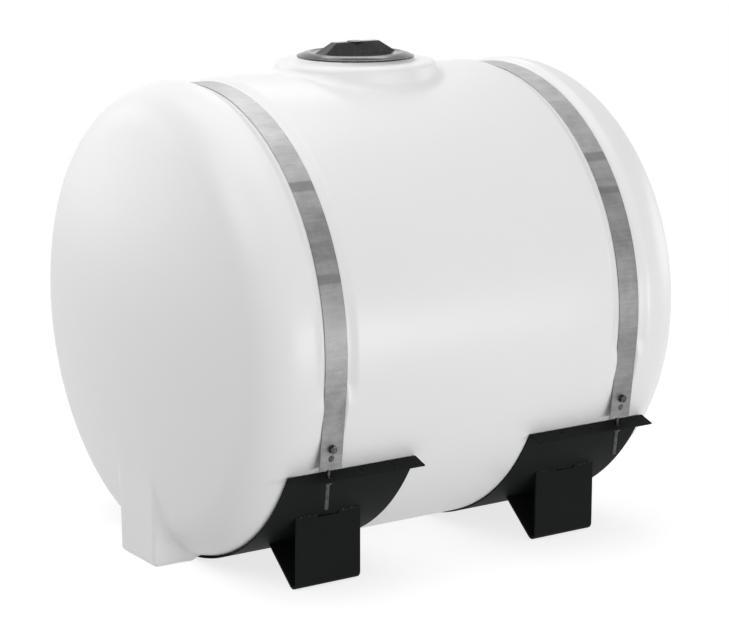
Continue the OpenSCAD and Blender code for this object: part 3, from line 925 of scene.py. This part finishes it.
def hexagon(height, across_corners, chamfered_ends, bore=0.0):
    """A hexagon on z = 0, with its corners turned off at one end or both, and a bore if it is a nut."""
    bm = bmesh.new()
    bmesh.ops.create_cone(bm, cap_ends=True, segments=6, radius1=across_corners, radius2=across_corners,
                          depth=height, matrix=Matrix.Translation((0, 0, height / 2)))
    made = piece("hexagon", bm, bolt_zinc)
    flat_r, past_r = across_corners * 0.90, across_corners * 1.1
    drop = (past_r - flat_r) * math.tan(math.radians(28))
    line = [(0, height), (flat_r, height), (past_r, height - drop)]
    if chamfered_ends > 1:
        line += [(past_r, drop), (flat_r, 0), (0, 0)]
    else:
        line += [(past_r, -drop), (0, -drop)]
    cut(made, turned(line, 60), "INTERSECT")
    if bore:
        hole = bmesh.new()
        drill(hole, (0, 0, height / 2), (0, 0, 1), bore)
        cut(made, hole)
    return made


def threaded(length, radius, plain):
    """Outline of a rod from z = 0 downwards: plain at first, then threaded, with its end turned off."""
    line = [(0, 0), (radius - thread_depth, 0), (radius - thread_depth, -plain)]
    turns = int((length - plain) / thread_pitch) - 1
    for i in range(turns):
        z = -plain - (i + 0.5) * thread_pitch
        line += [(radius, z), (radius - thread_depth, z - thread_pitch / 2)]
    line += [(radius, -plain - (turns + 0.5) * thread_pitch), (radius - 0.0012, -length), (0, -length)]
    return line


def washer(outer, inner, low, high):
    """A washer about Z with its outer edges turned off."""
    edge = 0.00035
    return turned([(inner, low), (outer - edge, low), (outer, low + edge), (outer, high - edge),
                   (outer - edge, high), (inner, high), (inner, low)], 40)


def add_object(bm, made, matrix):
    """Adds a copy of an object's mesh to a bmesh, through a matrix."""
    copy = bmesh.new()
    copy.from_mesh(made.data)
    add_copy(bm, copy, matrix)


rod_zinc = make_zinc_plate("zinc_plated_rod", 0.05, 0.11)
bolt_zinc = make_zinc_plate("zinc_plated_bolts", 0.045, 0.12)
bolt_head = hexagon(head_height, head_r, 1)
rod_nut = hexagon(nut_height, nut_r, 2, rod_r + 0.00005)
lying = Matrix.Rotation(math.pi / 2, 4, "X")
for side, word in ((-1, "left"), (1, "right")):
    bolts, nuts = bmesh.new(), bmesh.new()
    for front, place_word in ((-1, "front"), (1, "back")):
        place = pull_place(side, front)
        outward = place @ Matrix.Translation((0, -band_face, -hole_high)) @ lying
        add_copy(bolts, washer(bolt_r * 1.85, bolt_r - 0.0005, 0, washer_gauge), outward)
        add_object(bolts, bolt_head, outward @ Matrix.Translation((0, 0, washer_gauge)))
        shank_top, shank_end = washer_gauge * 1.3, -(band_gauge + seat_gap + 2 * rod_r + washer_gauge)
        shank = [(0, shank_top), (bolt_r, shank_top), (bolt_r, shank_end + 0.001),
                 (bolt_r - 0.001, shank_end), (0, shank_end)]
        add_copy(bolts, turned(shank, 32), outward)

        rod, ring = bmesh.new(), bmesh.new()
        bmesh.ops.create_circle(ring, segments=20, radius=rod_r, cap_ends=False,
                                matrix=Matrix.Translation((eye_r, 0, 0)) @ lying)
        spin_shut(ring, ring.verts[:] + ring.edges[:], 40)
        add_copy(rod, ring, place @ Matrix.Translation((0, -rod_line, -hole_high)) @ lying)
        rod_length = pull_length + rod_tail - hole_high - eye_r
        add_copy(rod, turned(threaded(rod_length, rod_r, rod_plain), 20),
                 place @ Matrix.Translation((0, -rod_line, -hole_high - eye_r)))
        clean(rod)
        hook_rod = piece(f"hook_rod_{word}_{place_word}_thread", rod, rod_zinc, 75)
        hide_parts(f"hook_rod_{word}_{place_word}")

        under = place @ Matrix.Translation((0, -rod_line, -pull_length - nut_gap - nut_height))
        add_object(nuts, rod_nut, under)
        wedge = washer(nut_r, rod_r + seat_gap, nut_height, nut_height + nut_gap)
        slope = Matrix.Rotation(-(flange_slope + pull_angle), 3, "X")
        top = nut_height + nut_gap - sheet_on_slant - seat_gap
        bmesh.ops.bisect_plane(wedge, geom=wedge.verts[:] + wedge.edges[:] + wedge.faces[:], dist=1e-6,
                               plane_co=(0, 0, top), plane_no=slope @ Vector((0, 0, 1)), clear_outer=True)
        bmesh.ops.holes_fill(wedge, edges=[e for e in wedge.edges if e.is_boundary], sides=0)
        clean(wedge)
        add_copy(nuts, wedge, under)
        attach(hook_rod, "tank")
    for bm in (bolts, nuts):
        clean(bm)
    bolt_pair = piece(f"bolt_pair_{word}", bolts, bolt_zinc, 40)
    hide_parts(f"band_bolts_{word}")
    nut_pair = piece(f"nut_pair_{word}", nuts, bolt_zinc, 40)
    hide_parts(f"rod_nuts_{word}")
    for made in (bolt_pair, nut_pair):
        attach(made, "tank")
for pattern in (bolt_head, rod_nut):
    bpy.data.objects.remove(pattern)


# ---- camera and studio ---------------------------------------------------------------
# Not part of the tank: a long lens a little above the tank's top, and a plain white room
# with a floor that glows faintly. Large soft lamps hang overhead, high on the left, behind
# the left end and the lid, low on the right, and low in front.

bpy.context.scene.view_settings.view_transform = "Standard"
camera_data = bpy.data.cameras.new("camera")
camera_data.lens = 116.6
camera_data.sensor_width = 36
camera_data.clip_end = 200
camera = bpy.data.objects.new("camera", camera_data)
camera.location = (-2.685, -4.097, axis_z + 1.026)
camera.rotation_euler = (math.radians(90 - 12.371), 0, math.radians(-33.460))
bpy.context.scene.collection.objects.link(camera)
bpy.context.scene.camera = camera

floor_bm = bmesh.new()
bmesh.ops.create_grid(floor_bm, x_segments=1, y_segments=1, size=40,
                      matrix=Matrix.Translation((0, 0, -0.0005)))
floor_material = bpy.data.materials.new("studio_floor")
floor_material.use_nodes = True
floor_material.node_tree.nodes.clear()
ground = Socket(floor_material.node_tree)


def seen_directly(start):
    """1 for what is seen, straight or in a gloss, and 0 for the light that falls on things."""
    kinds = [start.node("ShaderNodeLightPath", {}, {}, kind)
             for kind in ("Is Camera Ray", "Is Glossy Ray", "Is Transmission Ray")]
    return kinds[0] + kinds[1] + kinds[2]


floor_glow = 0.26
floor_lift = 0.77
seen = seen_directly(ground)
matt = ground.node("ShaderNodeBsdfDiffuse", {}, {"Color": (0.40, 0.40, 0.40, 1)})
lifted = ground.node("ShaderNodeEmission", {}, {"Strength": (1 - seen) * floor_glow + seen * floor_lift})
near_floor = ground.node("ShaderNodeAddShader", {}, {0: matt, 1: lifted})
white = ground.node("ShaderNodeEmission", {}, {"Strength": 1.0})
on_floor = ground.node("ShaderNodeTexCoord", {}, {}, "Object")
away = ground.node("ShaderNodeVectorMath", {"operation": "LENGTH"}, {0: on_floor}, "Value")
far_off = (away * 0.25).ramp((0.22, 0), (0.55, 1))
floor_surface = ground.node("ShaderNodeMixShader", {}, {0: far_off * seen, 1: near_floor, 2: white})
ground.node("ShaderNodeOutputMaterial", {}, {"Surface": floor_surface})
floor = piece("studio_floor", floor_bm, floor_material)

world = bpy.data.worlds.new("studio_room")
world.use_nodes = True
world.node_tree.nodes.clear()
bpy.context.scene.world = world
room = Socket(world.node_tree)
room_fill = 0.31
seen = seen_directly(room)
room_light = room.node("ShaderNodeBackground", {},
                       {"Color": (1, 1, 1, 1), "Strength": (1 - seen) * room_fill + seen})
room.node("ShaderNodeOutputWorld", {}, {"Surface": room_light})


def soft_light(name, place, aim, size, power):
    """A large rectangular light that faces a point."""
    data = bpy.data.lights.new(name, "AREA")
    data.shape = "RECTANGLE"
    data.size, data.size_y = size
    data.energy = power
    lamp = bpy.data.objects.new(name, data)
    lamp.location = place
    lamp.rotation_euler = (Vector(aim) - Vector(place)).to_track_quat("-Z", "Y").to_euler()
    bpy.context.scene.collection.objects.link(lamp)


soft_light("overhead", (-0.3, 0.2, 3.4), (0, 0, 0.5), (2.8, 2.8), 44)
soft_light("high_left", (-3.4, -0.6, 3.2), (-0.4, 0, 0.7), (2.4, 2.4), 46)
soft_light("behind_left", (-2.4, 3.6, 1.5), (-0.5, 0, 0.6), (3.0, 2.6), 41)
soft_light("behind_lid", (1.5, 2.3, 3.2), (0, 0, 1.0), (1.3, 0.7), 9)
soft_light("low_right", (3.6, -0.6, 0.9), (0.4, 0, 0.5), (2.0, 1.4), 18)
soft_light("low_front", (0.6, -3.6, 0.25), (0.2, 0, 0.35), (3.0, 0.5), 50)
